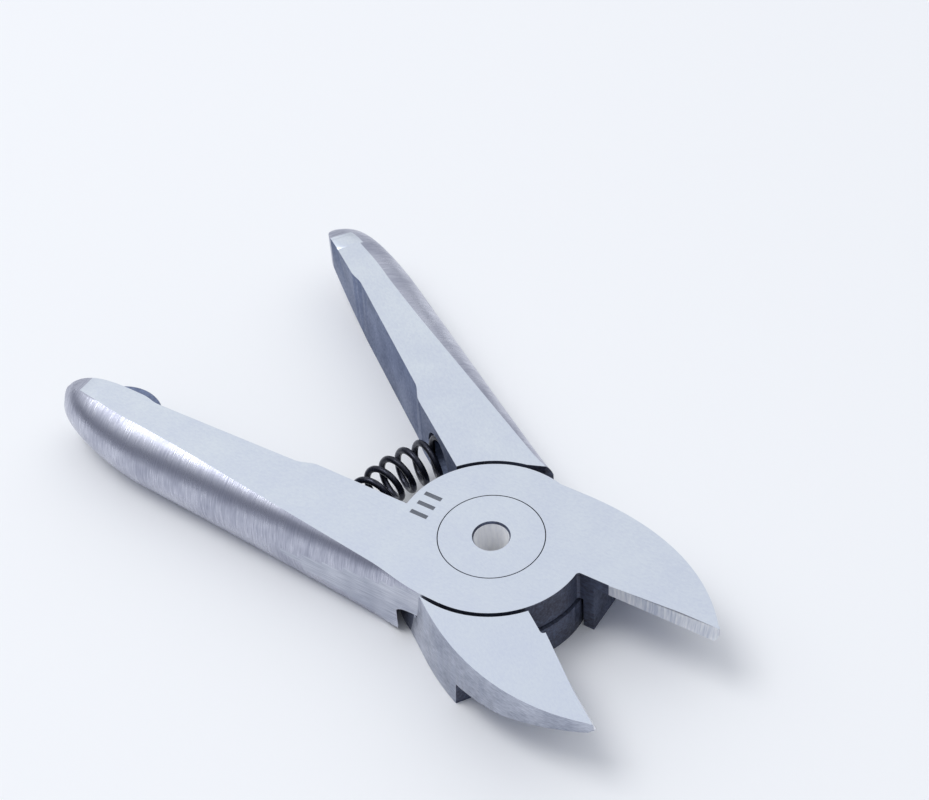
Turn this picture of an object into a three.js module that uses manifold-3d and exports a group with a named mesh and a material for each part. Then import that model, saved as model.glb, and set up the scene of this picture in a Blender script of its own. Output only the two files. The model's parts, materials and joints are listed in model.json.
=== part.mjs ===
// Replaceable cutting head of a small powered nipper: two crossing steel levers on a hollow
// rivet, a return spring between the handles and a stop pad that meets the other handle.
//
// Millimetres, +Z up. The head lies flat on z = 0, handles towards +Y, jaws towards -Y, and is
// built as it rests, open. Each lever is first drawn closed: y runs along the middle line of
// the closed head towards the handle ends, x is positive on the side of the other handle.

import * as THREE from 'three';
import { mergeVertices } from 'three/addons/utils/BufferGeometryUtils.js';
import Module from 'manifold-3d';

// ---- Driving dimensions -------------------------------------------------------------------

const THICKNESS = 8.9;
const OPEN_ANGLE = 35.5; // degrees between the levers at rest, all of it lost on closing
const REACH = 200; // longer than the head, for cutting tools
const GAP = 0.3; // clearance between pieces that touch
const OVERRUN = 1; // how far cutting tools pass the faces that they cut

// Pivot: a hollow rivet with a countersunk head flush with each face, for an M4 screw.
const RIVET_HEAD_R = 6;
const RIVET_SHANK_R = 4.6;
const RIVET_HEAD_DEPTH = 1.8;
const RIVET_RIM_DEPTH = 0.4; // upright rim of the head above its cone
const SCREW_HOLE_R = 2.15;
const RIVET_CLEARANCE = 0.2;

// Half-lap hubs. Lever A keeps the upper half and lever B the lower half.
const HUB_R = 10.8; // lever A's
const HUB_R_LOWER = 11.1; // lever B's
const RECESS_R_UPPER = 11.3;
const RECESS_R_LOWER = 11.5;
const RECESS_R_HANDLE = 12.3; // deeper lower recess on the outer side of lever A's handle
// Outer corner cut off the root of lever B's handle.
const ROOT_CORNER = [[-7.4, 8.4], [-9.7, 6.9], [-13, 6.9], [-13, 0], [-7.4, 0]];
const ROUND_STEPS = 64;
const CURVE_STEPS = 20;

// Jaw, towards -Y.
const JAW_OUTER_X = 10.4; // at the upper face
const JAW_FLARE = 1.055; // how much wider the jaw is at its lower face
const JAW_CURVE_START_Y = -6;
const JAW_TIP_R = 0.5;
const JAW_TIP_ARC_START = -20; // degrees, where the jaw's curve meets the rounded tip
const JAW_TIP_ARC_END = -180;
const TIP_STEPS = 6;
const JAW_PULL_START = 0.55; // pull of the jaw's curve at its start, as a share of its reach
// Each jaw was ground by hand, so they differ: tipY is the reach, heelX the step in front of the
// hub, and pullEnd the curve's pull at the tip, as shares of its half width and reach.
const JAW_A = { tipY: -27.6, heelX: 0.18, pullEnd: [0.725, 0.825] };
const JAW_B = { tipY: -27.3, heelX: 0.6, pullEnd: [0.68, 0.81] };
const EDGE_X = 0.1;
const HEEL_END_Y = -14.7;
const EDGE_DROP = 1.55; // how far the cutting edge lies below the upper face
const EDGE_SET_BACK = [0.02, 0.57]; // lean of the honed band from the edge, at heel and tip
const SHOULDER_Y = -12.8;
const NOTCH_R = 0.6; // fillet between hub and heel
const NOTCH_OVERLAP = 0.05; // how far the fillet runs into both
const EDGE_BEVEL_ANGLE = 38; // from vertical
const LAND_END_Y = -13;
const TOE_THICKNESS = 1.85;
const TOE_ROUND = [[0.9, 0], [0.3, 0.25], [0, 0.8], [-OVERRUN, 0.8]]; // from the tip, above the toe
const HEEL_THICKNESS = 5.6;
const BELLY_Y = -19.5;
const BELLY_THICKNESS = 4.4;

// Handle, towards +Y.
const HANDLE_END_Y = 60; // past both ends
const HANDLE_END_X = -3.9;
const HANDLE_OUTER_X = -11; // at HANDLE_TAPER_Y
const HANDLE_TAPER_Y = 8;
const HANDLE_TAPER = 0.047;
const END_CURVE_Y = 43.5;
// The handles' ends were ground by hand too: innerCurveY is where the inner face starts to curve
// away, noseExtra widens the rounded outer side, and bottomZ is how far the underside rolls up.
const HANDLE_A = { endY: 58.75, innerCurveY: 50, noseExtra: 0, bottomZ: 2.6 };
const HANDLE_B = { endY: 59.05, innerCurveY: 56, noseExtra: 0.4, bottomZ: 4.9 };
const END_ROLL_Y = 53;
const END_TOP_Z = 6.5;
const UNDER_ROLL_Y = 44;
const UNDER_ROLL_POWER = 1.5; // how slowly the underside starts to roll up
const NOSE_WIDTH = [
  [0, 0.3], [5, 0.6], [9, 1.25], [24, 2.3], [38, 3.3], [45, 3.6], [52, 3.2], [HANDLE_END_Y, 2],
]; // [y, width] of the rounded outer side, from the upper face's ridge to the widest line
const NOSE_SHARE = 0.8; // most of the handle's width that the nose may take
const NOSE_LOWER = 0.75; // width below the widest line, as a share of the width above
const NOSE_ARC = THREE.MathUtils.degToRad(68); // turn of the round between widest line and ridge
const NOSE_STEPS = 5; // segments from the upper face to the widest line
const EXTRA_STATIONS = [16, 31, 48.8]; // y of sections between the corners
const END_STATIONS = [4, 2.7, 1.5, 0.7, 0.2]; // and before the end
const FLAT_X = -10.82; // ground flat on the outer side beside the hub
const FLAT_TAPER = 0.0191;

// Inner face of a handle: a land that carries the spring, then a shallow relief that is ground
// deeper at its upper edge than at its lower edge, then a land again.
const LAND_X = -0.54;
const INNER_FACE = [
  [0, LAND_X], [23.4, LAND_X], [25.4, -1.25], [46, -1.75], [47.6, -1.35], [HANDLE_END_Y, -1.25],
]; // [y, x] corners of the upper edge
const RELIEF_LEAN = [[0, 0], [23.4, 0], [25.4, 0.4], [46, 0.4], [47.6, 0], [HANDLE_END_Y, 0]];

// Return spring, on an arc about the pivot.
const SPRING_ARC_R = 17.5;
const SPRING_R = 2.35; // to the middle of the wire
const WIRE_R = 0.4;
const SPRING_TURNS = 8.75;
const POCKET_DEPTH = 3.7;
const POCKET_STEPS = 32;
const STEPS_PER_TURN = 14;
const WIRE_SIDES = 6;

// Stop pad, on lever A.
const PAD_Y = 50;
const PAD_R = 5.6;
const PAD_FACE_X = 0.9;
const PAD_THICKNESS = 4.8;
const PAD_SEAT_X = -1.2;
const TONGUE_LENGTH = 4;
const TONGUE_DEPTH = 3;
const TONGUE_THICKNESS = 3.8;

const HALF_OPEN = THREE.MathUtils.degToRad(OPEN_ANGLE / 2);
const MID_Z = THICKNESS / 2;

// ---- Solids -------------------------------------------------------------------------------

const wasm = await Module();
wasm.setup();

function toSolid(geometry) {
  const bare = geometry.clone();
  bare.deleteAttribute('normal');
  bare.deleteAttribute('uv');
  const merged = mergeVertices(bare, 1e-4);
  return new wasm.Manifold(new wasm.Mesh({
    numProp: 3,
    vertProperties: new Float32Array(merged.attributes.position.array),
    triVerts: new Uint32Array(merged.index.array),
  }));
}

function toGeometry(solid) {
  const mesh = solid.getMesh();
  const geometry = new THREE.BufferGeometry();
  geometry.setAttribute('position', new THREE.BufferAttribute(mesh.vertProperties, 3));
  geometry.setIndex(new THREE.BufferAttribute(mesh.triVerts, 1));
  geometry.computeVertexNormals();
  return geometry;
}

/** Reflects a geometry in the plane x = 0 and keeps its faces pointing out. */
function mirrored(geometry) {
  const twin = geometry.clone();
  twin.scale(-1, 1, 1);
  const index = twin.index.array;
  for (let i = 0; i < index.length; i += 3) {
    [index[i + 1], index[i + 2]] = [index[i + 2], index[i + 1]];
  }
  twin.computeVertexNormals();
  return twin;
}

/** A disc about the pivot axis between two heights. */
function disc(radius, low, high) {
  const geometry = new THREE.CylinderGeometry(radius, radius, high - low, ROUND_STEPS);
  geometry.rotateX(Math.PI / 2);
  geometry.translate(0, 0, (low + high) / 2);
  return toSolid(geometry);
}

/** An outline in x, y pulled up from low to high. */
function plate(shape, low, high) {
  const geometry = new THREE.ExtrudeGeometry(shape, {
    depth: high - low, bevelEnabled: false, curveSegments: CURVE_STEPS,
  });
  geometry.translate(0, 0, low);
  return toSolid(geometry);
}

function outline(corners) {
  return new THREE.Shape(corners.map(([a, b]) => new THREE.Vector2(a, b)));
}

/** A section in x, z swept along y from one place to another. */
function barAlongY(corners, fromY, toY) {
  const geometry = new THREE.ExtrudeGeometry(outline(corners), {
    depth: toY - fromY, bevelEnabled: false,
  });
  geometry.rotateX(Math.PI / 2); // section y becomes z, depth becomes -y
  geometry.translate(0, toY, 0);
  return toSolid(geometry);
}

/** A section in y, z swept along x over the whole head. */
function barAlongX(corners) {
  const geometry = new THREE.ExtrudeGeometry(outline(corners), {
    depth: REACH, bevelEnabled: false,
  });
  geometry.translate(0, 0, -REACH / 2);
  geometry.rotateY(Math.PI / 2);
  geometry.rotateX(Math.PI / 2); // section x becomes y, section y becomes z
  return toSolid(geometry);
}

function block(width, length, height, x, y, z, turn = 0) {
  const geometry = new THREE.BoxGeometry(width, length, height);
  geometry.translate(x, y, z);
  geometry.rotateZ(turn);
  return toSolid(geometry);
}

// ---- Lever --------------------------------------------------------------------------------

/** Place on a line of [y, x] corners. */
function alongCorners(corners, y) {
  const next = corners.findIndex((corner, i) => i > 0 && y <= corner[0]);
  const [[y0, x0], [y1, x1]] = [corners[next - 1], corners[next]];
  return THREE.MathUtils.mapLinear(y, y0, y1, x0, x1);
}

/** Falls from 1 to 0 as a quarter ellipse between two places. */
function roundOff(y, from, to) {
  const t = THREE.MathUtils.clamp((y - from) / (to - from), 0, 1);
  return Math.sqrt(1 - t * t);
}

function handleOuterX(y, { endY }) {
  const straight = HANDLE_OUTER_X + HANDLE_TAPER * (y - HANDLE_TAPER_Y);
  return HANDLE_END_X + (straight - HANDLE_END_X) * roundOff(y, END_CURVE_Y, endY);
}

function handleInnerX(y, { innerCurveY, endY }) {
  const straight = alongCorners(INNER_FACE, y);
  return HANDLE_END_X + (straight - HANDLE_END_X) * roundOff(y, innerCurveY, endY);
}

function handleTopZ(y, { endY }) {
  return THREE.MathUtils.lerp(END_TOP_Z, THICKNESS, roundOff(y, END_ROLL_Y, endY));
}

function handleBottomZ(y, { bottomZ, endY }) {
  const share = Math.max(0, (y - UNDER_ROLL_Y) / (endY - UNDER_ROLL_Y));
  return bottomZ * share ** UNDER_ROLL_POWER;
}

/** Section of the handle at y: flat inner face, flat top and bottom, rounded outer side. */
function handleSection(y, handle) {
  const [outer, inner] = [handleOuterX(y, handle), handleInnerX(y, handle)];
  const [top, bottom] = [handleTopZ(y, handle), handleBottomZ(y, handle)];
  const [middle, half] = [(top + bottom) / 2, (top - bottom) / 2];
  const ridge = alongCorners(NOSE_WIDTH, y) + handle.noseExtra;
  const nose = Math.min(ridge, NOSE_SHARE * (inner - outer));
  const ring = [
    new THREE.Vector3(inner + alongCorners(RELIEF_LEAN, y), y, bottom),
    new THREE.Vector3(inner, y, top),
  ];
  for (let i = -NOSE_STEPS; i <= NOSE_STEPS; i += 1) {
    const angle = (-i / NOSE_STEPS) * NOSE_ARC;
    const width = angle < 0 ? nose * NOSE_LOWER : nose;
    const x = outer + width * (1 - Math.cos(angle)) / (1 - Math.cos(NOSE_ARC));
    ring.push(new THREE.Vector3(x, y, middle + half * Math.sin(angle) / Math.sin(NOSE_ARC)));
  }
  return ring;
}

/** Closed skin through equal rings, with a fan over each end. */
function loft(rings) {
  const count = rings[0].length;
  const index = [];
  for (let r = 0; r + 1 < rings.length; r += 1) {
    for (let i = 0; i < count; i += 1) {
      const [a, b] = [r * count + i, r * count + ((i + 1) % count)];
      index.push(a, a + count, b, b, a + count, b + count);
    }
  }
  const last = (rings.length - 1) * count;
  for (let i = 1; i + 1 < count; i += 1) {
    index.push(0, i, i + 1, last, last + i + 1, last + i);
  }
  const geometry = new THREE.BufferGeometry().setFromPoints(rings.flat());
  geometry.setIndex(index);
  return toSolid(geometry);
}

function handleSolid(handle) {
  const corners = [...NOSE_WIDTH, ...INNER_FACE].map(([y]) => y).filter((y) => y < END_ROLL_Y);
  const stations = [...new Set([
    ...corners, ...EXTRA_STATIONS, ...END_STATIONS.map((back) => handle.endY - back),
    END_CURVE_Y, END_ROLL_Y, handle.innerCurveY,
  ])].sort((a, b) => a - b);
  const flat = block(
    REACH, 2 * END_CURVE_Y, REACH, FLAT_X - REACH / 2, 0, 0, -Math.atan(FLAT_TAPER),
  );
  return loft(stations.map((y) => handleSection(y, handle))).subtract(flat);
}

/** Jaw outline: straight past the hub, a curve to the round tip, the cutting edge, the heel. */
function jawShape({ tipY, heelX, pullEnd }) {
  const tip = Array.from({ length: TIP_STEPS + 1 }, (_, i) => {
    const degrees = THREE.MathUtils.lerp(JAW_TIP_ARC_START, JAW_TIP_ARC_END, i / TIP_STEPS);
    const angle = THREE.MathUtils.degToRad(degrees);
    return new THREE.Vector2(
      EDGE_X + JAW_TIP_R * (1 + Math.cos(angle)), tipY + JAW_TIP_R * (1 + Math.sin(angle)),
    );
  });
  const shape = new THREE.Shape();
  shape.moveTo(heelX, 0);
  shape.lineTo(JAW_OUTER_X, 0);
  shape.lineTo(JAW_OUTER_X, JAW_CURVE_START_Y);
  shape.bezierCurveTo(
    JAW_OUTER_X, JAW_PULL_START * tipY, pullEnd[0] * JAW_OUTER_X, pullEnd[1] * tipY,
    tip[0].x, tip[0].y,
  );
  tip.slice(1).forEach((point) => shape.lineTo(point.x, point.y));
  shape.lineTo(EDGE_X, HEEL_END_Y);
  shape.lineTo(heelX, HEEL_END_Y);
  return shape;
}

/** The jaw's outline through the whole thickness, wider at its lower face. */
function jawBlank(jaw) {
  const geometry = new THREE.ExtrudeGeometry(jawShape(jaw), {
    depth: THICKNESS, bevelEnabled: false, curveSegments: CURVE_STEPS,
  });
  const place = geometry.attributes.position;
  for (let i = 0; i < place.count; i += 1) {
    if (place.getZ(i) === 0) place.setX(i, place.getX(i) * JAW_FLARE);
  }
  return toSolid(geometry);
}

function jawSolid(jaw) {
  const slope = Math.tan(THREE.MathUtils.degToRad(EDGE_BEVEL_ANGLE));
  const edgeZ = THICKNESS - EDGE_DROP;
  const underBevel = barAlongY(
    [[-REACH, -GAP], [EDGE_X + slope * (edgeZ + GAP), -GAP], [EDGE_X, edgeZ], [-REACH, edgeZ]],
    -REACH, SHOULDER_Y,
  );
  const ends = [[jaw.tipY - OVERRUN, EDGE_SET_BACK[1]], [HEEL_END_Y, EDGE_SET_BACK[0]]];
  const honedBand = loft(ends.map(([y, setBack]) => [
    new THREE.Vector3(-REACH, y, edgeZ), new THREE.Vector3(EDGE_X, y, edgeZ),
    new THREE.Vector3(EDGE_X + setBack * (1 + OVERRUN / EDGE_DROP), y, THICKNESS + OVERRUN),
    new THREE.Vector3(-REACH, y, THICKNESS + OVERRUN),
  ]));
  const underside = barAlongX([
    [LAND_END_Y, -OVERRUN], [LAND_END_Y, THICKNESS - HEEL_THICKNESS],
    [BELLY_Y, THICKNESS - BELLY_THICKNESS],
    ...TOE_ROUND.map(([back, rise]) => [jaw.tipY + back, THICKNESS - TOE_THICKNESS + rise]),
    [jaw.tipY - OVERRUN, -OVERRUN],
  ]);
  return jawBlank(jaw).subtract(underBevel).subtract(honedBand).subtract(underside);
}

/** Fillet in the corner between lever A's hub and its heel. */
function notchFillet(lapZ) {
  const x = JAW_A.heelX - NOTCH_R + NOTCH_OVERLAP;
  const y = -HUB_R - NOTCH_R + NOTCH_OVERLAP;
  const shape = new THREE.Shape();
  shape.moveTo(x + 2 * NOTCH_R, -HUB_R + NOTCH_R);
  shape.lineTo(x, -HUB_R + NOTCH_R);
  shape.absarc(x, y, NOTCH_R, Math.PI / 2, 0, true);
  shape.lineTo(x + 2 * NOTCH_R, y);
  return plate(shape, lapZ, THICKNESS);
}

/** The hole for the rivet: a shank bore with a countersink at each face. */
function rivetHole() {
  return toSolid(rivetProfile(RIVET_CLEARANCE, OVERRUN, 0));
}

/** The rivet's turned shape, grown by a clearance and carried past both faces. */
function rivetProfile(clearance, overrun, boreR) {
  const [head, shank] = [RIVET_HEAD_R + clearance, RIVET_SHANK_R + clearance];
  const corners = [
    [boreR, -overrun], [head, -overrun], [head, RIVET_RIM_DEPTH], [shank, RIVET_HEAD_DEPTH],
    [shank, THICKNESS - RIVET_HEAD_DEPTH], [head, THICKNESS - RIVET_RIM_DEPTH],
    [head, THICKNESS + overrun], [boreR, THICKNESS + overrun],
  ];
  if (boreR > 0) corners.push(corners[0]);
  const points = corners.map(([r, z]) => new THREE.Vector2(r, z));
  const geometry = new THREE.LatheGeometry(points, ROUND_STEPS);
  geometry.rotateX(Math.PI / 2);
  return geometry;
}

/** Round pocket for one end of the spring, square to the inner face. */
function springPocket() {
  const mouth = 2 * OVERRUN;
  const radius = SPRING_R + WIRE_R + GAP;
  const geometry = new THREE.CylinderGeometry(radius, radius, POCKET_DEPTH + mouth, POCKET_STEPS);
  geometry.rotateZ(Math.PI / 2);
  geometry.translate(LAND_X + (mouth - POCKET_DEPTH) / 2, SPRING_ARC_R, MID_Z);
  return toSolid(geometry);
}

/** Room in lever A's lower half for lever B's hub, and for its jaw beside A's handle. */
function lowerRecess(lapZ) {
  const inside = block(REACH, REACH, REACH, REACH / 2, 0, 0);
  return disc(RECESS_R_LOWER, -OVERRUN, lapZ)
    .add(disc(RECESS_R_HANDLE, -OVERRUN, lapZ).subtract(inside));
}

/** Room in lever B's upper half for lever A's hub, with the outer corner of its handle cut off. */
function upperRecess(lapZ) {
  return disc(RECESS_R_UPPER, lapZ, THICKNESS + OVERRUN)
    .add(plate(outline(ROOT_CORNER), lapZ, THICKNESS + OVERRUN));
}

/** One lever in its closed place, with its hub in the upper or the lower half. */
function leverSolid(hubAbove) {
  const lapZ = hubAbove ? MID_Z + GAP / 2 : MID_Z - GAP / 2;
  const recess = hubAbove ? lowerRecess(lapZ) : upperRecess(lapZ);
  const hub = hubAbove
    ? disc(HUB_R, lapZ, THICKNESS).add(notchFillet(lapZ)) : disc(HUB_R_LOWER, 0, lapZ);
  const [handle, jaw] = hubAbove ? [HANDLE_A, JAW_A] : [HANDLE_B, JAW_B];
  return handleSolid(handle).add(jawSolid(jaw)).subtract(recess).add(hub).subtract(rivetHole())
    .subtract(springPocket());
}

// ---- Small pieces -------------------------------------------------------------------------

function padTongue(grow) {
  const depth = TONGUE_DEPTH + 2 * grow;
  return block(
    depth, TONGUE_LENGTH + 2 * grow, TONGUE_THICKNESS + 2 * grow,
    PAD_SEAT_X - TONGUE_DEPTH / 2, PAD_Y, MID_Z,
  );
}

/** Stop pad: a slice of a round disc on a tongue let into the inner face of lever A. */
function padSolid() {
  const low = MID_Z - PAD_THICKNESS / 2;
  const shape = new THREE.Shape();
  const half = Math.acos((PAD_SEAT_X - (PAD_FACE_X - PAD_R)) / PAD_R);
  shape.absarc(PAD_FACE_X - PAD_R, PAD_Y, PAD_R, -half, half);
  return plate(shape, low, low + PAD_THICKNESS).add(padTongue(0));
}

/** Middle line of the spring: into the pocket, round the arc about the pivot, into the other. */
class SpringLine extends THREE.Curve {
  constructor() {
    super();
    this.straight = POCKET_DEPTH - LAND_X - GAP - WIRE_R;
    this.arc = SPRING_ARC_R * 2 * HALF_OPEN;
    this.length = 2 * this.straight + this.arc;
  }

  /** Distance from the arc's middle, to the place and the way out from the pivot. */
  frameAt(distance) {
    const onArc = THREE.MathUtils.clamp(distance, -this.arc / 2, this.arc / 2);
    const angle = Math.PI / 2 - onArc / SPRING_ARC_R;
    const outward = new THREE.Vector3(Math.cos(angle), Math.sin(angle), 0);
    const along = new THREE.Vector3(Math.sin(angle), -Math.cos(angle), 0);
    const place = outward.clone().multiplyScalar(SPRING_ARC_R).addScaledVector(along, distance - onArc);
    place.z = MID_Z;
    return { place, outward };
  }

  getPoint(t, target = new THREE.Vector3()) {
    const { place, outward } = this.frameAt((t - 0.5) * this.length);
    const turn = t * SPRING_TURNS * 2 * Math.PI;
    target.copy(place).addScaledVector(outward, SPRING_R * Math.cos(turn));
    target.z += SPRING_R * Math.sin(turn);
    return target;
  }
}

function springGeometry() {
  const section = new THREE.Shape();
  section.absarc(0, 0, WIRE_R, 0, 2 * Math.PI);
  return new THREE.ExtrudeGeometry(section, {
    steps: Math.round(SPRING_TURNS * STEPS_PER_TURN), curveSegments: WIRE_SIDES / 2,
    extrudePath: new SpringLine(),
  });
}

// ---- Assembly -----------------------------------------------------------------------------

const groundSteel = { color: 0xd3dae2, roughness: 0.35, metalness: 1 };
const rivetSteel = { color: 0xd8dee6, roughness: 0.3, metalness: 1 };
const springSteel = { color: 0x1c1d22, roughness: 0.3, metalness: 0.8 };
const darkSteel = { color: 0x4a5368, roughness: 0.5, metalness: 0.6 };

function piece(name, geometry, finish) {
  const mesh = new THREE.Mesh(geometry, new THREE.MeshStandardMaterial(finish));
  mesh.name = name;
  return mesh;
}

const leverA = new THREE.Group();
leverA.rotation.z = HALF_OPEN;
leverA.add(
  piece('lever_a', toGeometry(leverSolid(true).subtract(padTongue(GAP))), groundSteel),
  piece('stop_pad', toGeometry(padSolid()), darkSteel),
);

const leverB = new THREE.Group();
leverB.rotation.z = -HALF_OPEN;
leverB.add(piece('lever_b', mirrored(toGeometry(leverSolid(false))), groundSteel));

const head = new THREE.Group();
head.add(
  leverA,
  leverB,
  piece('pivot_rivet', rivetProfile(0, 0, SCREW_HOLE_R), rivetSteel),
  piece('return_spring', springGeometry(), springSteel),
);

// The origin is under the middle of the open head.
const size = new THREE.Box3().setFromObject(head, true);
head.position.y = -(size.min.y + size.max.y) / 2;

export default head;
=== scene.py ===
"""Blade head of a small powered nipper: ground levers, flush hollow rivet, spring and stop pad.

Each lever is drawn closed, in millimetres, with y along the middle line of the closed head
towards the handle ends and x towards the other handle. It is then turned open about the pivot
and put in the frame, in metres.
"""

import json
import logging
import math
from dataclasses import dataclass
from enum import Enum

import bmesh
import bpy
from mathutils import Matrix, Vector

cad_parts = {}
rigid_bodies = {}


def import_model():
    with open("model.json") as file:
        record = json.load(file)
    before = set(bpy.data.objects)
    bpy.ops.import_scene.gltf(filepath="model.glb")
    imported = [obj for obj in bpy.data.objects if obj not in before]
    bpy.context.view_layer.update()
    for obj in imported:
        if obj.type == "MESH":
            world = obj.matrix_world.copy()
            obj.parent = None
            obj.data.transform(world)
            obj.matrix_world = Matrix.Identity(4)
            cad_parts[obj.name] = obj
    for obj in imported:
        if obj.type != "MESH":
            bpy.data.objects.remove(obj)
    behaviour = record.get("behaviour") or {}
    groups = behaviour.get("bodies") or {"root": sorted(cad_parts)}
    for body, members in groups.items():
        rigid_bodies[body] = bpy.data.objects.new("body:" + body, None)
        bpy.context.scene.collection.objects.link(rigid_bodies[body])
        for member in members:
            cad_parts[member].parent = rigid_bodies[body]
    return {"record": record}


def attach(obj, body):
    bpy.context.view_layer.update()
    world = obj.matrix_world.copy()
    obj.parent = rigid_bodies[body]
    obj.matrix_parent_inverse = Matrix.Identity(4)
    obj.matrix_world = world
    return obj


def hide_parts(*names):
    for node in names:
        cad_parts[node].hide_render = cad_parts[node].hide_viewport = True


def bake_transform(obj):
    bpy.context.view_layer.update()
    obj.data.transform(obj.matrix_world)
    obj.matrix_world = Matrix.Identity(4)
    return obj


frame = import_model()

LOG = logging.getLogger("nipper_head")

MM = 0.001
# Cutters reach this far, which is past any corner of the head, in millimetres.
FAR = 60.0
# A cutter starts and ends this far outside the face that it opens.
CLEAR = 1.0
# Cutters that run through both faces start and end at these heights.
BELOW, ABOVE = -9.0, 20.0
# Corners closer than this are one corner, and faces that turn less than this are one face.
MERGE_LENGTH = 0.004
MERGE_ANGLE = math.radians(0.04)
# A broken edge: its segments, the sharpest turn left alone, and how square a face is kept flat.
BREAK_SEGMENTS = 2
BREAK_ANGLE = math.radians(32)
SQUARE = 0.99999
JOINT = frame["record"]["behaviour"]["joints"][0]
PIVOT = Vector((JOINT["pos_m"][0], JOINT["pos_m"][1], 0.0))
OPEN_ANGLE = math.radians(JOINT["range_deg"][1])
BODY_A = JOINT["parent"]
BODY_B = JOINT["child"]


# ---- Colours and nodes --------------------------------------------------------------------


def linear(hex_colour: str) -> tuple[float, float, float, float]:
    """Turn an sRGB hex colour into linear RGBA.

    Args:
        hex_colour: Six hex digits after a hash.

    Returns:
        Red, green, blue and a full alpha, all linear.
    """
    channels = [int(hex_colour[i : i + 2], 16) / 255 for i in (1, 3, 5)]
    red, green, blue = (
        c / 12.92 if c <= 0.04045 else ((c + 0.055) / 1.055) ** 2.4 for c in channels
    )
    return (red, green, blue, 1.0)


def add_node(
    tree: bpy.types.NodeTree,
    kind: str,
    inputs: dict[str | int, object] | None = None,
    **settings: object,
) -> bpy.types.Node:
    """Add one node with its settings, values and links.

    Args:
        tree: The node tree that gets the node.
        kind: The node's type name.
        inputs: A value or an output socket for each named or numbered input.
        settings: Properties of the node itself.

    Returns:
        The new node.
    """
    node = tree.nodes.new(kind)
    for name, value in settings.items():
        setattr(node, name, value)
    for key, value in (inputs or {}).items():
        if isinstance(value, bpy.types.NodeSocket):
            tree.links.new(value, node.inputs[key])
        else:
            node.inputs[key].default_value = value
    return node


# ---- Finishes -----------------------------------------------------------------------------


@dataclass(frozen=True)
class Grain:
    """Scratches or cloudiness, as the size in millimetres of one cell of noise along each axis.

    The axes are the lever's own, with y along its handle.
    """

    cell_mm: tuple[float, float, float]
    height_mm: float
    detail: float = 2.0


@dataclass(frozen=True)
class SteelFinish:
    """A worked or scaled steel surface.

    Colour and roughness each run between two values, by a fine grain and a slow clouding.
    """

    name: str
    light: str
    dark: str
    smooth: float
    rough: float
    grain: Grain
    metallic: float = 1.0
    bump_strength: float = 0.6
    cloud_mm: float = 5.0
    grain_roughness: float = 0.6
    cloud_detail: float = 3.0
    spread: tuple[float, float] = (0.7, 1.3)

    def build(self, turn: float = 0.0) -> bpy.types.Material:
        """Make the material for a piece that is turned about the pivot.

        Args:
            turn: Angle of the piece's own y axis from the frame's, in radians.

        Returns:
            The finished material.
        """
        material = bpy.data.materials.new(self.name)
        material.use_nodes = True
        tree = material.node_tree
        tree.nodes.clear()
        place = add_node(tree, "ShaderNodeTexCoord").outputs["Object"]
        grain_space = add_node(
            tree,
            "ShaderNodeMapping",
            {
                "Vector": place,
                "Location": PIVOT,
                "Rotation": (0.0, 0.0, turn),
                "Scale": [cell * MM for cell in self.grain.cell_mm],
            },
            vector_type="TEXTURE",
        )
        grain = add_node(
            tree,
            "ShaderNodeTexNoise",
            {
                "Vector": grain_space.outputs["Vector"],
                "Scale": 1.0,
                "Detail": self.grain.detail,
                "Roughness": self.grain_roughness,
            },
        )
        cloud = add_node(
            tree,
            "ShaderNodeTexNoise",
            {
                "Vector": place,
                "Scale": 1 / (self.cloud_mm * MM),
                "Detail": self.cloud_detail,
            },
        )
        mixed = add_node(
            tree,
            "ShaderNodeMath",
            {0: grain.outputs["Fac"], 1: cloud.outputs["Fac"]},
            operation="ADD",
        )
        spread = add_node(
            tree,
            "ShaderNodeMapRange",
            {
                "Value": mixed.outputs["Value"],
                "From Min": self.spread[0],
                "From Max": self.spread[1],
            },
        )
        colour = add_node(
            tree,
            "ShaderNodeMix",
            {0: spread.outputs["Result"], 6: linear(self.dark), 7: linear(self.light)},
            data_type="RGBA",
        )
        roughness = add_node(
            tree,
            "ShaderNodeMapRange",
            {"Value": spread.outputs["Result"], "To Min": self.rough, "To Max": self.smooth},
        )
        bump = add_node(
            tree,
            "ShaderNodeBump",
            {
                "Height": grain.outputs["Fac"],
                "Strength": self.bump_strength,
                "Distance": self.grain.height_mm * MM,
            },
        )
        shader = add_node(
            tree,
            "ShaderNodeBsdfPrincipled",
            {
                "Base Color": colour.outputs[2],
                "Metallic": self.metallic,
                "Roughness": roughness.outputs["Result"],
                "Normal": bump.outputs["Normal"],
            },
        )
        add_node(tree, "ShaderNodeOutputMaterial", {"Surface": shader.outputs["BSDF"]})
        return material


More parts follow.
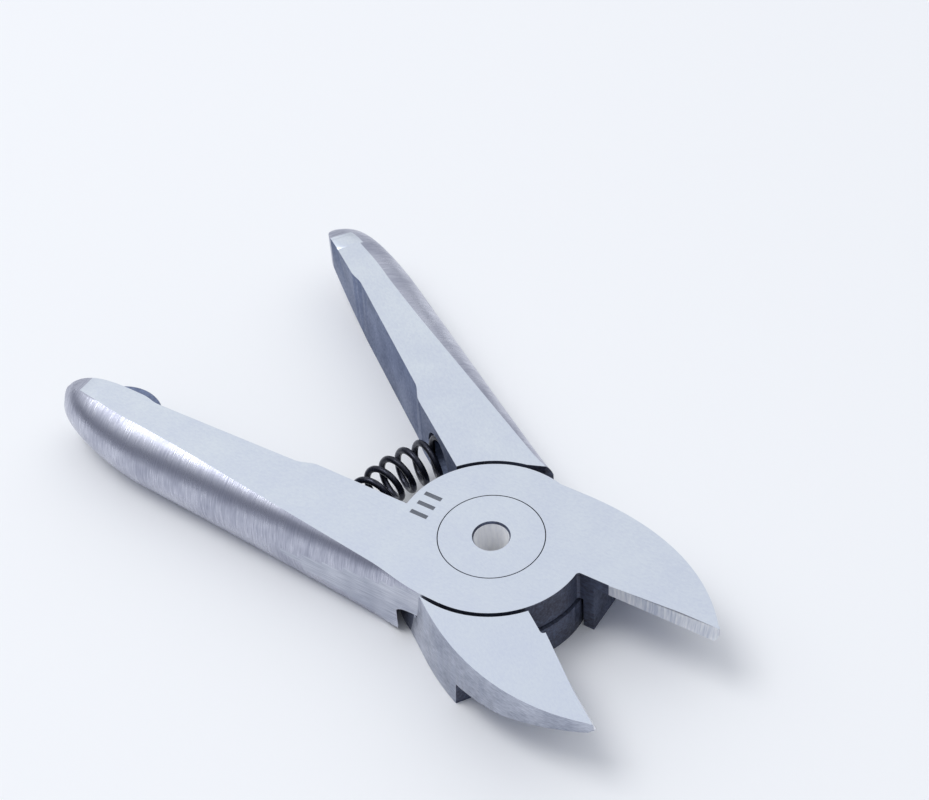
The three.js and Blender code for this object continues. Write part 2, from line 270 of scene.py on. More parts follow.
class Finish(Enum):
    """Every surface that the levers and the rivet show."""

    # Tool steel off a surface grinder: satin, almost even, with faint specks and clouding.
    SURFACE_GROUND = SteelFinish(
        "surface_ground_steel", "#dde3ea", "#d0d6e2", 0.3, 0.38, Grain((0.25, 0.5, 0.25), 0.0012)
    )
    # Drawn over a belt across the handle: coarse scratches that run round the nose.
    BELT_CROSS = SteelFinish(
        "belt_ground_nose", "#cdcfdb", "#9c9fb0", 0.2, 0.42, Grain((2.2, 0.15, 2.2), 0.03), 1.0, 1.0
    )
    # Ground by hand on a wheel along the handle: long streaks lengthwise.
    WHEEL_ALONG = SteelFinish(
        "wheel_ground_flat",
        "#d6d9e2",
        "#a6abba",
        0.34,
        0.5,
        Grain((0.2, 3.0, 0.12), 0.02),
        bump_strength=0.8,
    )
    # The jaw's back, ground round its curve.
    JAW_BACK = SteelFinish(
        "wheel_ground_jaw_back", "#c6cad6", "#9096a6", 0.34, 0.5, Grain((0.8, 0.8, 0.14), 0.015)
    )
    # Honed square across the cutting edge: bright, with separate strokes.
    HONED = SteelFinish(
        "honed_edge", "#ffffff", "#c3c9d6", 0.4, 0.55, Grain((3.0, 0.3, 3.0), 0.02), 0.75
    )
    # Scale left by hardening: blue-grey, dull, slightly pitted.
    OXIDE = SteelFinish(
        "blue_grey_oxide", "#7c88a6", "#59647f", 0.42, 0.6, Grain((0.35, 0.35, 0.35), 0.02), 0.5
    )
    # The same scale where it is thick and oily, in the throat and the lap; its dark colour is also
    # painted shade in the lap, the root corner, the shoulder step and the bore's chamfer.
    DARK_OXIDE = SteelFinish(
        "black_oxide_and_painted_shade", "#5c657c", "#2f2d3a", 0.35, 0.55, Grain((0.3, 0.6, 0.3), 0.02), 0.4
    )
    # Reamed bore of the rivet, painted plain white and not metallic so that it reads bright:
    # painted light, fairly even.
    BORE_PAINTED_WHITE = SteelFinish(
        "reamed_bore", "#ffffff", "#e8eaf0", 0.4, 0.55, Grain((0.3, 0.3, 2.0), 0.004), 0.0
    )
    # Acid etching: matt grey.
    ETCHED = SteelFinish(
        "etched_grey", "#70757f", "#5c6069", 0.55, 0.7, Grain((0.1, 0.1, 0.1), 0.004), 0.3
    )


SPRING_FINISH = SteelFinish(
    "black_oxide_spring_wire", "#4a4c58", "#24252c", 0.2, 0.32, Grain((0.2, 0.2, 0.2), 0.004), 0.9
)


@dataclass(frozen=True)
class FaceLimits:
    """Where one finish ends and the next begins.

    A lean is one part of a face's normal, and the rest are lengths in millimetres.
    """

    level_lean: float = 0.97
    roll_lean: float = 0.9
    roll_side_lean: float = 0.3
    upright_lean: float = 0.35
    skin: float = 0.03
    flat_off: float = 0.05
    flat_length: float = 30.0
    lap_beyond: float = 1.0
    root_x: float = -7.0
    root_y: float = 8.6
    root_lean: float = -0.2
    inner_lean: float = 0.75
    hub_off: float = 0.12
    hub_lean: float = 0.8
    hub_past_flat: float = 0.5
    hollow_lean: float = -0.5
    recess_off: float = 0.2
    lap_lean: float = 0.2
    heel_off: float = 0.1
    honed_lean: float = -0.05
    honed_off: float = 0.02
    shoulder_lean: float = -0.8
    shoulder_off: float = 0.5
    throat_lean: float = 0.3
    throat_x: float = 4.5
    scale_lean: float = -0.3
    etch_from: float = 0.015
    etch_to: float = 0.06
    etch_reach: float = 3.0


LIMITS = FaceLimits()


# ---- Solids, in millimetres ---------------------------------------------------------------


class Axis(Enum):
    """The axis that a section is swept along, by its number."""

    X = 0
    Y = 1
    Z = 2


class Join(Enum):
    """What a tool does to a solid."""

    ADD = "UNION"
    CUT = "DIFFERENCE"


def new_object(name: str, mesh: bpy.types.Mesh) -> bpy.types.Object:
    """Link a mesh into the scene as an object at the origin."""
    piece = bpy.data.objects.new(name, mesh)
    bpy.context.scene.collection.objects.link(piece)
    return piece


def solid_from(
    name: str, points: list[tuple[float, float, float]], faces: list[tuple[int, ...]]
) -> bpy.types.Object:
    """Make a closed solid with its faces pointing out.

    Args:
        name: The object's name.
        points: The corners.
        faces: Corner numbers of each face.

    Returns:
        The new object.
    """
    mesh = bpy.data.meshes.new(name)
    mesh.from_pydata(points, [], faces)
    shape = bmesh.new()
    shape.from_mesh(mesh)
    bmesh.ops.recalc_face_normals(shape, faces=shape.faces)
    shape.to_mesh(mesh)
    shape.free()
    return new_object(name, mesh)


def loft(name: str, rings: list[list[tuple[float, float, float]]]) -> bpy.types.Object:
    """Skin equal closed rings and cap both ends.

    Args:
        name: The object's name.
        rings: Rings of points, each in the same order.

    Returns:
        The new object.
    """
    count = len(rings[0])
    points = [point for ring in rings for point in ring]
    faces: list[tuple[int, ...]] = []
    for row in range(len(rings) - 1):
        for i in range(count):
            a, b = row * count + i, row * count + (i + 1) % count
            faces.append((a, b, b + count, a + count))
    last = (len(rings) - 1) * count
    faces.append(tuple(range(count)))
    faces.append(tuple(range(last, last + count)))
    return solid_from(name, points, faces)


def circle_points(
    radius: float, steps: int, centre: tuple[float, float] = (0.0, 0.0)
) -> list[tuple[float, float]]:
    """List the corners of a circle of flats.

    Args:
        radius: The circle's radius.
        steps: Number of flats.
        centre: The circle's middle.

    Returns:
        The corners, from the first axis towards the second.
    """
    turns = [2 * math.pi * i / steps for i in range(steps)]
    return [(centre[0] + radius * math.cos(a), centre[1] + radius * math.sin(a)) for a in turns]


def rectangle(low: tuple[float, float], high: tuple[float, float]) -> list[tuple[float, float]]:
    """List a rectangle's corners, from the lowest round to the one above it."""
    return [low, (high[0], low[1]), high, (low[0], high[1])]


def prism(
    name: str, section: list[tuple[float, float]], axis: Axis, low: float, high: float
) -> bpy.types.Object:
    """Sweep a flat section straight along one axis.

    Args:
        name: The object's name.
        section: Corners in the other two axes, in x, y, z order.
        axis: The axis swept along.
        low: Where the sweep starts.
        high: Where it ends.

    Returns:
        The new object.
    """
    cut = axis.value
    return loft(name, [[(*p[:cut], t, *p[cut:]) for p in section] for t in (low, high)])


def turned(name: str, profile: list[tuple[float, float]], steps: int) -> bpy.types.Object:
    """Turn a closed profile of (radius, height) about the z axis.

    Args:
        name: The object's name.
        profile: Corners of the profile, none on the axis.
        steps: Flats round the turn.

    Returns:
        The new object, a ring.
    """
    count = len(profile)
    points, faces = [], []
    for step in range(steps):
        angle = 2 * math.pi * step / steps
        points += [(r * math.cos(angle), r * math.sin(angle), z) for r, z in profile]
        for i in range(count):
            a, b = step * count + i, step * count + (i + 1) % count
            wrap = (step + 1) % steps * count
            faces.append((a, b, wrap + (i + 1) % count, wrap + i))
    return solid_from(name, points, faces)


def disc(name: str, radius: float, low: float, high: float, steps: int) -> bpy.types.Object:
    """Make a solid round disc about the z axis."""
    return prism(name, circle_points(radius, steps), Axis.Z, low, high)


def turned_stack(name: str, rings: list[tuple[float, float]], steps: int) -> bpy.types.Object:
    """Make a solid of round sections about the z axis.

    Args:
        name: The object's name.
        rings: Radius and height of each section, upwards.
        steps: Flats round the solid.

    Returns:
        The new object.
    """
    return loft(name, [[(x, y, z) for x, y in circle_points(r, steps)] for r, z in rings])


def baked(piece: bpy.types.Object) -> bpy.types.Object:
    """Apply a piece's modifiers and leave a plain mesh on it.

    Args:
        piece: The object with the modifiers.

    Returns:
        The same object.
    """
    graph = bpy.context.evaluated_depsgraph_get()
    mesh = bpy.data.meshes.new_from_object(piece.evaluated_get(graph))
    piece.modifiers.clear()
    old, piece.data = piece.data, mesh
    bpy.data.meshes.remove(old)
    return piece


def combine(
    target: bpy.types.Object, tools: list[bpy.types.Object], join: Join
) -> bpy.types.Object:
    """Join tools to a solid or cut them out of it, and remove them.

    Args:
        target: The solid that is kept.
        tools: The solids that are used up.
        join: Whether the tools are added or cut out.

    Returns:
        The kept solid.
    """
    for tool in tools:
        modifier = target.modifiers.new("combine", "BOOLEAN")
        modifier.operation = join.value
        modifier.solver = "EXACT"
        modifier.object = tool
        baked(target)
        bpy.data.meshes.remove(tool.data)
    return target


def tidy_solid(piece: bpy.types.Object) -> None:
    """Merge doubled corners and dissolve edges that lie inside one flat face.

    Args:
        piece: The solid.
    """
    shape = bmesh.new()
    shape.from_mesh(piece.data)
    bmesh.ops.remove_doubles(shape, verts=shape.verts, dist=MERGE_LENGTH)
    bmesh.ops.dissolve_limit(
        shape, angle_limit=MERGE_ANGLE, verts=shape.verts, edges=shape.edges
    )
    bmesh.ops.recalc_face_normals(shape, faces=shape.faces)
    shape.to_mesh(piece.data)
    shape.free()


def break_edges(piece: bpy.types.Object, width: float) -> None:
    """Break a solid's sharp edges by a small round, and shade it by face area.

    Args:
        piece: The solid.
        width: Width of the round.
    """
    bevel = piece.modifiers.new("break_edges", "BEVEL")
    bevel.width = width
    bevel.segments = BREAK_SEGMENTS
    bevel.limit_method = "ANGLE"
    bevel.angle_limit = BREAK_ANGLE
    bevel.use_clamp_overlap = True
    bevel.miter_outer = "MITER_ARC"
    baked(piece)
    for face in piece.data.polygons:
        face.use_smooth = max(abs(part) for part in face.normal) < SQUARE
    piece.modifiers.new("shade_by_area", "WEIGHTED_NORMAL").keep_sharp = True
    baked(piece)


# ---- Levers -------------------------------------------------------------------------------


def along_corners(
    corners: tuple[tuple[float, float], ...], place: float, soft: float = 0.0
) -> float:
    """Read a broken line at a place, with its corners softened if asked.

    Args:
        corners: (place, value) corners in order.
        place: Where to read.
        soft: Half width over which the line is averaged.

    Returns:
        The line's value there.
    """
    if soft > 0:
        reach = 4
        steps = range(-reach, reach + 1)
        samples = [along_corners(corners, place + soft * step / reach) for step in steps]
        return sum(samples) / len(samples)
    for (y0, x0), (y1, x1) in zip(corners, corners[1:]):
        if place <= y1:
            share = max(0.0, (place - y0) / (y1 - y0))
            return x0 + (x1 - x0) * share
    return corners[-1][1]


def round_off(place: float, start: float, end: float) -> float:
    """Fall from 1 to 0 as a quarter ellipse between two places."""
    share = min(max((place - start) / (end - start), 0.0), 1.0)
    return math.sqrt(1 - share * share)


@dataclass
class Lever:
    """One forged and ground lever. Lever A keeps the upper half of the lap, lever B the lower."""

    name: str
    body: str
    hub_above: bool
    side: int
    thickness: float = 8.9
    lap_gap: float = 0.3
    hub_r: float = 10.8
    recess_r_upper: float = 11.3
    recess_r_lower: float = 11.5
    recess_r_handle: float = 12.3
    recess_fillet: float = 0.9
    root_corner: tuple[tuple[float, float], ...] = (
        (-7.4, 8.4), (-9.7, 6.9), (-13.0, 6.9), (-13.0, 0.0), (-7.4, 0.0),
    )
    hole_head_r: float = 6.06
    hole_shank_r: float = 4.75
    hole_head_depth: float = 1.8
    hole_land: float = 0.4
    round_steps: int = 160
    jaw_outer_x: float = 10.4
    jaw_curve_start_y: float = -6.0
    jaw_flare: float = 1.055
    jaw_tip_y: float = -27.59
    jaw_tip_r: float = 0.5
    jaw_tip_turns: range = range(-20, -181, -16)
    jaw_pull_start: float = 0.55
    jaw_pull: tuple[float, float] = (0.725, 0.825)
    jaw_steps: int = 56
    edge_x: float = 0.1
    heel_x: float = 0.18
    heel_end_y: float = -14.7
    heel_round: float = 0.35
    edge_drop: float = 1.55
    edge_set_back: tuple[float, float] = (0.02, 0.57)
    shoulder_y: float = -12.8
    edge_bevel: float = 38.0
    land_end_y: float = -13.0
    toe_thickness: float = 1.85
    heel_thickness: float = 5.6
    belly_y: float = -19.5
    belly_thickness: float = 4.4
    toe_round: tuple[tuple[float, float], ...] = ((0.9, 0.0), (0.3, 0.25), (0.0, 0.8))
    handle_end_y: float = 58.75
    handle_end_x: float = -3.9
    outer_x: float = -10.98
    taper_y: float = 8.0
    taper: float = 0.047
    end_curve_y: float = 43.5
    inner_end_curve_y: float = 50.0
    end_roll_y: float = 53.0
    end_belt_length: float = 3.2
    end_top_z: float = 6.5
    end_bottom_z: float = 2.6
    under_roll_y: float = 44.0
    under_roll_power: float = 1.5
    land_ends: tuple[float, float] = (23.4, 46.0)
    land_run_outs: tuple[float, float] = (25.4, 47.6)
    relief_x: tuple[float, float] = (-1.25, -1.75)
    end_land_x: tuple[float, float] = (-1.35, -1.25)
    relief_lean: float = 0.4
    corner_soft: float = 0.5
    nose_widths: tuple[tuple[float, float], ...] = (
        (0.0, 0.3), (5.0, 0.6), (9.0, 1.25), (24.0, 2.3), (38.0, 3.3), (45.0, 3.6), (52.0, 3.2),
    )
    nose_end_width: float = 2.0
    nose_soft: float = 1.0
    nose_share: float = 0.8
    nose_extra: float = 0.0
    flat_x: float = -10.82
    flat_taper: float = 0.0191
    land_x: float = -0.54
    spring_arc_r: float = 17.5
    pocket_r: float = 3.04
    pocket_depth: float = 3.7
    pocket_steps: int = 72
    inner_clear_x: float = 2.0
    edge_round: float = 0.09
    nose_steps: int = 14
    nose_lower: float = 0.75
    nose_arc: float = math.radians(68)

    @property
    def mid_z(self) -> float:
        """Half the thickness."""
        return self.thickness / 2

    @property
    def turn(self) -> float:
        """How far the open lever is turned from its closed place, in radians."""
        return self.side * OPEN_ANGLE / 2

    def outer_line(self, y: float) -> float:
        """Give the widest line of the handle's outer side.

        Args:
            y: Place along the handle.

        Returns:
            The line's x.
        """
        straight = self.outer_x + self.taper * (y - self.taper_y)
        fall = round_off(y, self.end_curve_y, self.handle_end_y)
        return self.handle_end_x + (straight - self.handle_end_x) * fall

    def inner_line(self, y: float) -> float:
        """Give the inner face of the handle: a land for the spring, a relief, an end land.

        Args:
            y: Place along the handle.

        Returns:
            The face's x at its top edge.
        """
        corners = (
            (0.0, self.land_x),
            (self.land_ends[0], self.land_x),
            (self.land_run_outs[0], self.relief_x[0]),
            (self.land_ends[1], self.relief_x[1]),
            (self.land_run_outs[1], self.end_land_x[0]),
            (self.handle_end_y, self.end_land_x[1]),
        )
        straight = along_corners(corners, y, self.corner_soft)
        fall = round_off(y, self.inner_end_curve_y, self.handle_end_y)
        return self.handle_end_x + (straight - self.handle_end_x) * fall

    def inner_lean(self, y: float) -> float:
        """Give how far the relief's lower edge stands out past its upper edge."""
        leans = (
            (0.0, 0.0),
            (self.land_ends[0], 0.0),
            (self.land_run_outs[0], self.relief_lean),
            (self.land_ends[1], self.relief_lean),
            (self.land_run_outs[1], 0.0),
            (self.handle_end_y, 0.0),
        )
        return along_corners(leans, y, self.corner_soft)

    def section(self, y: float) -> list[tuple[float, float, float]]:
        """Draw the handle's section: flat inner face, flat top and bottom, rounded nose.

        Args:
            y: Place along the handle.

        Returns:
            The section's corners, in a ring.
        """
        outer, inner = self.outer_line(y), self.inner_line(y)
        top = round_off(y, self.end_roll_y, self.handle_end_y)
        top = self.end_top_z + (self.thickness - self.end_top_z) * top
        under = max(0.0, (y - self.under_roll_y) / (self.handle_end_y - self.under_roll_y))
        bottom = self.end_bottom_z * under**self.under_roll_power
        middle, half = (top + bottom) / 2, (top - bottom) / 2
        widths = self.nose_widths + ((self.handle_end_y, self.nose_end_width),)
        ridge = along_corners(widths, y, self.nose_soft) + self.nose_extra
        nose = min(ridge, self.nose_share * (inner - outer))
        lean = self.inner_lean(y)
        ring = [(inner + lean, y, bottom), (inner, y, top)]
        for i in range(-self.nose_steps, self.nose_steps + 1):
            angle = -i / self.nose_steps * self.nose_arc
            width = nose if angle >= 0 else nose * self.nose_lower
            x = outer + width * (1 - math.cos(angle)) / (1 - math.cos(self.nose_arc))
            rise = math.sin(angle) / math.sin(self.nose_arc)
            ring.append((x, y, middle + half * rise))
        return ring

    def handle(self) -> bpy.types.Object:
        """Loft the handle and grind the flat on its outer side.

        Returns:
            The handle, closed and solid.
        """
        stations = [0.0, 2.0, 4.0, 5.0, 6.0, 8.0, 9.0, 10.0, 13.0, 16.0, 19.0, 22.0]
        stations += [22.6 + 0.4 * i for i in range(9)]
        stations += [28.0, 32.0, 36.0, 40.0, 43.5, 44.5]
        stations += [45.3 + 0.4 * i for i in range(8)] + [49.2, 50.2, 51.2, 52.2, 53.0, 53.6, 54.2]
        end, end_length = self.handle_end_y, 4.0
        stations += [end - end_length * math.cos(math.radians(a)) for a in range(10, 90, 7)]
        handle = loft(self.name + "_handle", [self.section(y) for y in stations])
        near_x = self.flat_x - self.flat_taper * FAR
        far_x = self.flat_x + self.flat_taper * FAR
        edge = [(near_x, -FAR), (far_x, FAR), (-FAR, FAR), (-FAR, -FAR)]
        flat = prism("flat", edge, Axis.Z, BELOW, ABOVE)
        return combine(handle, [flat], Join.CUT)

    def jaw_outline(self) -> list[tuple[float, float]]:
        """Draw the jaw: straight past the hub, a curve to the tip, the edge, then the heel.

        Returns:
            The outline's corners on the upper face.
        """
        start = Vector((self.jaw_outer_x, self.jaw_curve_start_y))
        pull_a = Vector((self.jaw_outer_x, self.jaw_pull_start * self.jaw_tip_y))
        pull_b = Vector((self.jaw_pull[0] * self.jaw_outer_x, self.jaw_pull[1] * self.jaw_tip_y))
        tip_r = self.jaw_tip_r
        tip = [
            (
                self.edge_x + tip_r * (1 + math.cos(math.radians(angle))),
                self.jaw_tip_y + tip_r * (1 + math.sin(math.radians(angle))),
            )
            for angle in self.jaw_tip_turns
        ]
        end = Vector(tip[0])
        outline = [(self.heel_x, 0.0), (self.jaw_outer_x, 0.0)]
        for i in range(self.jaw_steps + 1):
            t = i / self.jaw_steps
            point = (
                start * (1 - t) ** 3
                + pull_a * 3 * t * (1 - t) ** 2
                + pull_b * 3 * t * t * (1 - t)
                + end * t**3
            )
            outline.append((point.x, point.y))
        outline += tip[1:]
        outline.append((self.edge_x, self.heel_end_y))
        corner = min(self.heel_round, self.heel_x - self.edge_x)
        for turn in (0.0, 22.5, 45.0, 67.5, 90.0):
            angle = math.radians(turn)
            x = self.heel_x - corner * (1 - math.sin(angle))
            outline.append((x, self.heel_end_y + corner * (1 - math.cos(angle))))
        return outline

    def jaw(self) -> bpy.types.Object:
        """Cut the jaw's bevels, shoulder and thinned underside out of its outline.

        Returns:
            The jaw, closed and solid.
        """
        slope = math.tan(math.radians(self.edge_bevel))
        edge_z = self.thickness - self.edge_drop
        outline = self.jaw_outline()
        lower = [(x * self.jaw_flare, y, 0.0) for x, y in outline]
        jaw = loft(self.name + "_jaw", [lower, [(x, y, self.thickness) for x, y in outline]])
        bevel = [
            (-FAR, -CLEAR),
            (self.edge_x + slope * (edge_z + CLEAR), -CLEAR),
            (self.edge_x, edge_z),
            (-FAR, edge_z),
        ]
        under = prism("under_bevel", bevel, Axis.Y, -FAR, self.shoulder_y)
        rise = self.edge_drop + CLEAR
        beyond = self.jaw_tip_y - CLEAR
        band = []
        for y, set_back in zip((self.heel_end_y, beyond), self.edge_set_back):
            over = self.edge_x + set_back * rise / self.edge_drop
            band.append(
                [
                    (-FAR, y, edge_z),
                    (self.edge_x, y, edge_z),
                    (over, y, edge_z + rise),
                    (-FAR, y, edge_z + rise),
                ]
            )
        upper = loft("honed_band", band)
        heel_z, toe_z = (self.thickness - t for t in (self.heel_thickness, self.toe_thickness))
        profile = [
            (self.land_end_y, -CLEAR),
            (self.land_end_y, heel_z),
            (self.belly_y, self.thickness - self.belly_thickness),
        ]
        profile += [(self.jaw_tip_y + back, toe_z + up) for back, up in self.toe_round]
        profile += [(beyond, toe_z + self.toe_round[-1][1]), (beyond, -CLEAR)]
        belly = prism("belly", profile, Axis.X, -FAR, FAR)
        return combine(jaw, [under, upper, belly], Join.CUT)

    def rivet_hole(self) -> list[bpy.types.Object]:
        """Make the cutters for the shank's bore and a countersink at each face.

        Returns:
            The three cutters.
        """
        head, shank, steps = self.hole_head_r, self.hole_shank_r, self.round_steps
        bore = disc("bore", shank, -CLEAR, self.thickness + CLEAR, steps)
        low = [(head, -CLEAR), (head, self.hole_land), (shank, self.hole_head_depth)]
        high = [(r, self.thickness - z) for r, z in reversed(low)]
        return [bore] + [turned_stack("countersink", rings, steps) for rings in (low, high)]

    def pocket(self) -> bpy.types.Object:
        """Make the cutter for the drilled pocket that holds one end of the spring."""
        circle = circle_points(self.pocket_r, self.pocket_steps, (self.spring_arc_r, self.mid_z))
        floor_x = self.land_x - self.pocket_depth
        return prism("pocket", circle, Axis.X, floor_x, self.inner_clear_x)

    def recesses(self, lap: float) -> list[bpy.types.Object]:
        """Make room for lever A's hub, and cut off the outer corner of the handle's root.

        Args:
            lap: Height of the lap's floor.

        Returns:
            The two cutters.
        """
        high = self.thickness + CLEAR
        corner = prism("corner", list(self.root_corner), Axis.Z, lap, high)
        return [disc("recess", self.recess_r_upper, lap, high, self.round_steps), corner]

    def extra_cutters(self) -> list[bpy.types.Object]:
        """Cutters that only one of the levers has."""
        return []

    def extra_solids(self, lap: float) -> list[bpy.types.Object]:
        """Solids that only one of the levers has."""
        return []

    def finish_of(self, normal: Vector, centre: Vector) -> Finish:
        """Tell how a face of the closed lever is finished.

        Args:
            normal: The face's normal.
            centre: The face's middle.

        Returns:
            Its finish.
        """
        radius = math.hypot(centre.x, centre.y)
        in_skin = min(centre.z, self.thickness - centre.z) < LIMITS.skin
        if abs(normal.z) > LIMITS.level_lean and in_skin:
            return Finish.SURFACE_GROUND
        in_roll = self.end_roll_y < centre.y < self.handle_end_y - self.end_belt_length
        if in_roll and normal.z > LIMITS.roll_lean and abs(normal.x) < LIMITS.roll_side_lean:
            return Finish.SURFACE_GROUND
        off_flat = abs(centre.x - self.flat_x - self.flat_taper * centre.y)
        upright = abs(normal.z) < LIMITS.upright_lean
        if 0 < centre.y < LIMITS.flat_length and off_flat < LIMITS.flat_off and upright:
            return Finish.WHEEL_ALONG
        # The lap's faces take the darkest scale, which also paints the shade that falls between the
        # two levers.
        beyond_lap = self.recess_r_handle + LIMITS.lap_beyond
        if radius < beyond_lap and self.in_lap(normal, centre, radius):
            return Finish.DARK_OXIDE
        # The cut-off corner at lever B's root takes the darkest scale as painted shade in that
        # recess.
        at_root = centre.x < LIMITS.root_x and 0 < centre.y < LIMITS.root_y
        if not self.hub_above and at_root and normal.y < LIMITS.root_lean:
            return Finish.DARK_OXIDE
        if centre.y < 0:
            return self.jaw_finish_of(normal, centre)
        on_inner_face = normal.x > LIMITS.inner_lean and centre.y < self.inner_end_curve_y
        if on_inner_face or self.in_pocket(centre):
            return Finish.OXIDE
        return Finish.BELT_CROSS

    def in_lap(self, normal: Vector, centre: Vector, radius: float) -> bool:
        """Tell whether a face belongs to the hub's wall, the recess or the rivet's hole.

        Args:
            normal: The face's normal.
            centre: The face's middle.
            radius: How far that middle is from the pivot.

        Returns:
            True if it does.
        """
        outward = (normal.x * centre.x + normal.y * centre.y) / max(radius, MERGE_LENGTH)
        past_flat = centre.x > self.flat_x + LIMITS.hub_past_flat
        on_hub = abs(radius - self.hub_r) < LIMITS.hub_off and outward > LIMITS.hub_lean
        in_recess = radius < self.recess_r_handle + LIMITS.recess_off
        near_lap = abs(centre.z - self.mid_z) < self.recess_fillet + LIMITS.recess_off
        lap_face = abs(normal.z) > LIMITS.lap_lean and near_lap
        return (on_hub and past_flat) or (in_recess and (outward < LIMITS.hollow_lean or lap_face))

    def jaw_finish_of(self, normal: Vector, centre: Vector) -> Finish:
        """Tell how a face of the jaw is finished.

        Args:
            normal: The face's normal.
            centre: The face's middle.

        Returns:
            Its finish.
        """
        in_front = centre.y < self.heel_end_y + LIMITS.heel_off
        over_edge = centre.z > self.thickness - self.edge_drop - LIMITS.honed_off
        if in_front and normal.x < LIMITS.honed_lean and over_edge:
            return Finish.HONED
        # The step under the jaw's shoulder takes the darkest scale as painted shade.
        on_shoulder = centre.y > self.land_end_y - LIMITS.shoulder_off
        if normal.y < LIMITS.shoulder_lean and on_shoulder:
            return Finish.DARK_OXIDE
        if not in_front and normal.x < LIMITS.throat_lean and centre.x < LIMITS.throat_x:
            return Finish.DARK_OXIDE
        if min(normal.x, normal.z) < LIMITS.scale_lean:
            return Finish.OXIDE
        return Finish.JAW_BACK

    def in_pocket(self, centre: Vector) -> bool:
        """Tell whether a face's middle lies in the spring's pocket."""
        away = math.hypot(centre.y - self.spring_arc_r, centre.z - self.mid_z)
        floor_x = self.land_x - self.pocket_depth
        return away < self.pocket_r + LIMITS.recess_off and centre.x > floor_x - LIMITS.recess_off

    def dress(self, lever: bpy.types.Object) -> None:
        """Give each face the finish of the work that made it; the darkest scale is also painted
        shade in the lap and the recesses.

        Args:
            lever: The closed lever, in millimetres.
        """
        lever.data.materials.clear()
        order = list(Finish)
        for finish in order:
            material = finish.value.build(self.turn)
            material.name = f"{finish.value.name}_{self.name}"
            lever.data.materials.append(material)
        for face in lever.data.polygons:
            face.material_index = order.index(self.finish_of(face.normal, face.center))

    def build(self) -> bpy.types.Object:
        """Make the whole lever, open and in place.

        Returns:
            The finished piece, riding on its body.
        """
        half_gap = self.lap_gap / 2
        lap = self.mid_z + (half_gap if self.hub_above else -half_gap)
        low, high = (lap, self.thickness) if self.hub_above else (0.0, lap)
        hub = disc("hub", self.hub_r, low, high, self.round_steps)
        lever = combine(self.handle(), [self.jaw()], Join.ADD)
        combine(lever, self.recesses(lap), Join.CUT)
        combine(lever, [hub] + self.extra_solids(lap), Join.ADD)
        cutters = self.rivet_hole() + [self.pocket()] + self.extra_cutters()
        combine(lever, cutters, Join.CUT)
        lever.name = self.name + "_ground"
        tidy_solid(lever)
        break_edges(lever, self.edge_round)
        self.dress(lever)
        self.put_in_place(lever)
        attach(lever, self.body)
        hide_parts(self.name)
        return lever

    def put_in_place(self, lever: bpy.types.Object) -> None:
        """Mirror, open and move the lever in its mesh, and turn millimetres to metres.

        Args:
            lever: The closed lever, in millimetres.
        """
        move = (
            Matrix.Translation(PIVOT)
            @ Matrix.Rotation(self.turn, 4, "Z")
            @ Matrix.Diagonal((self.side * MM, MM, MM, 1))
        )
        lever.data.transform(move)
        if self.side < 0:
            lever.data.flip_normals()
        lever.data.update()


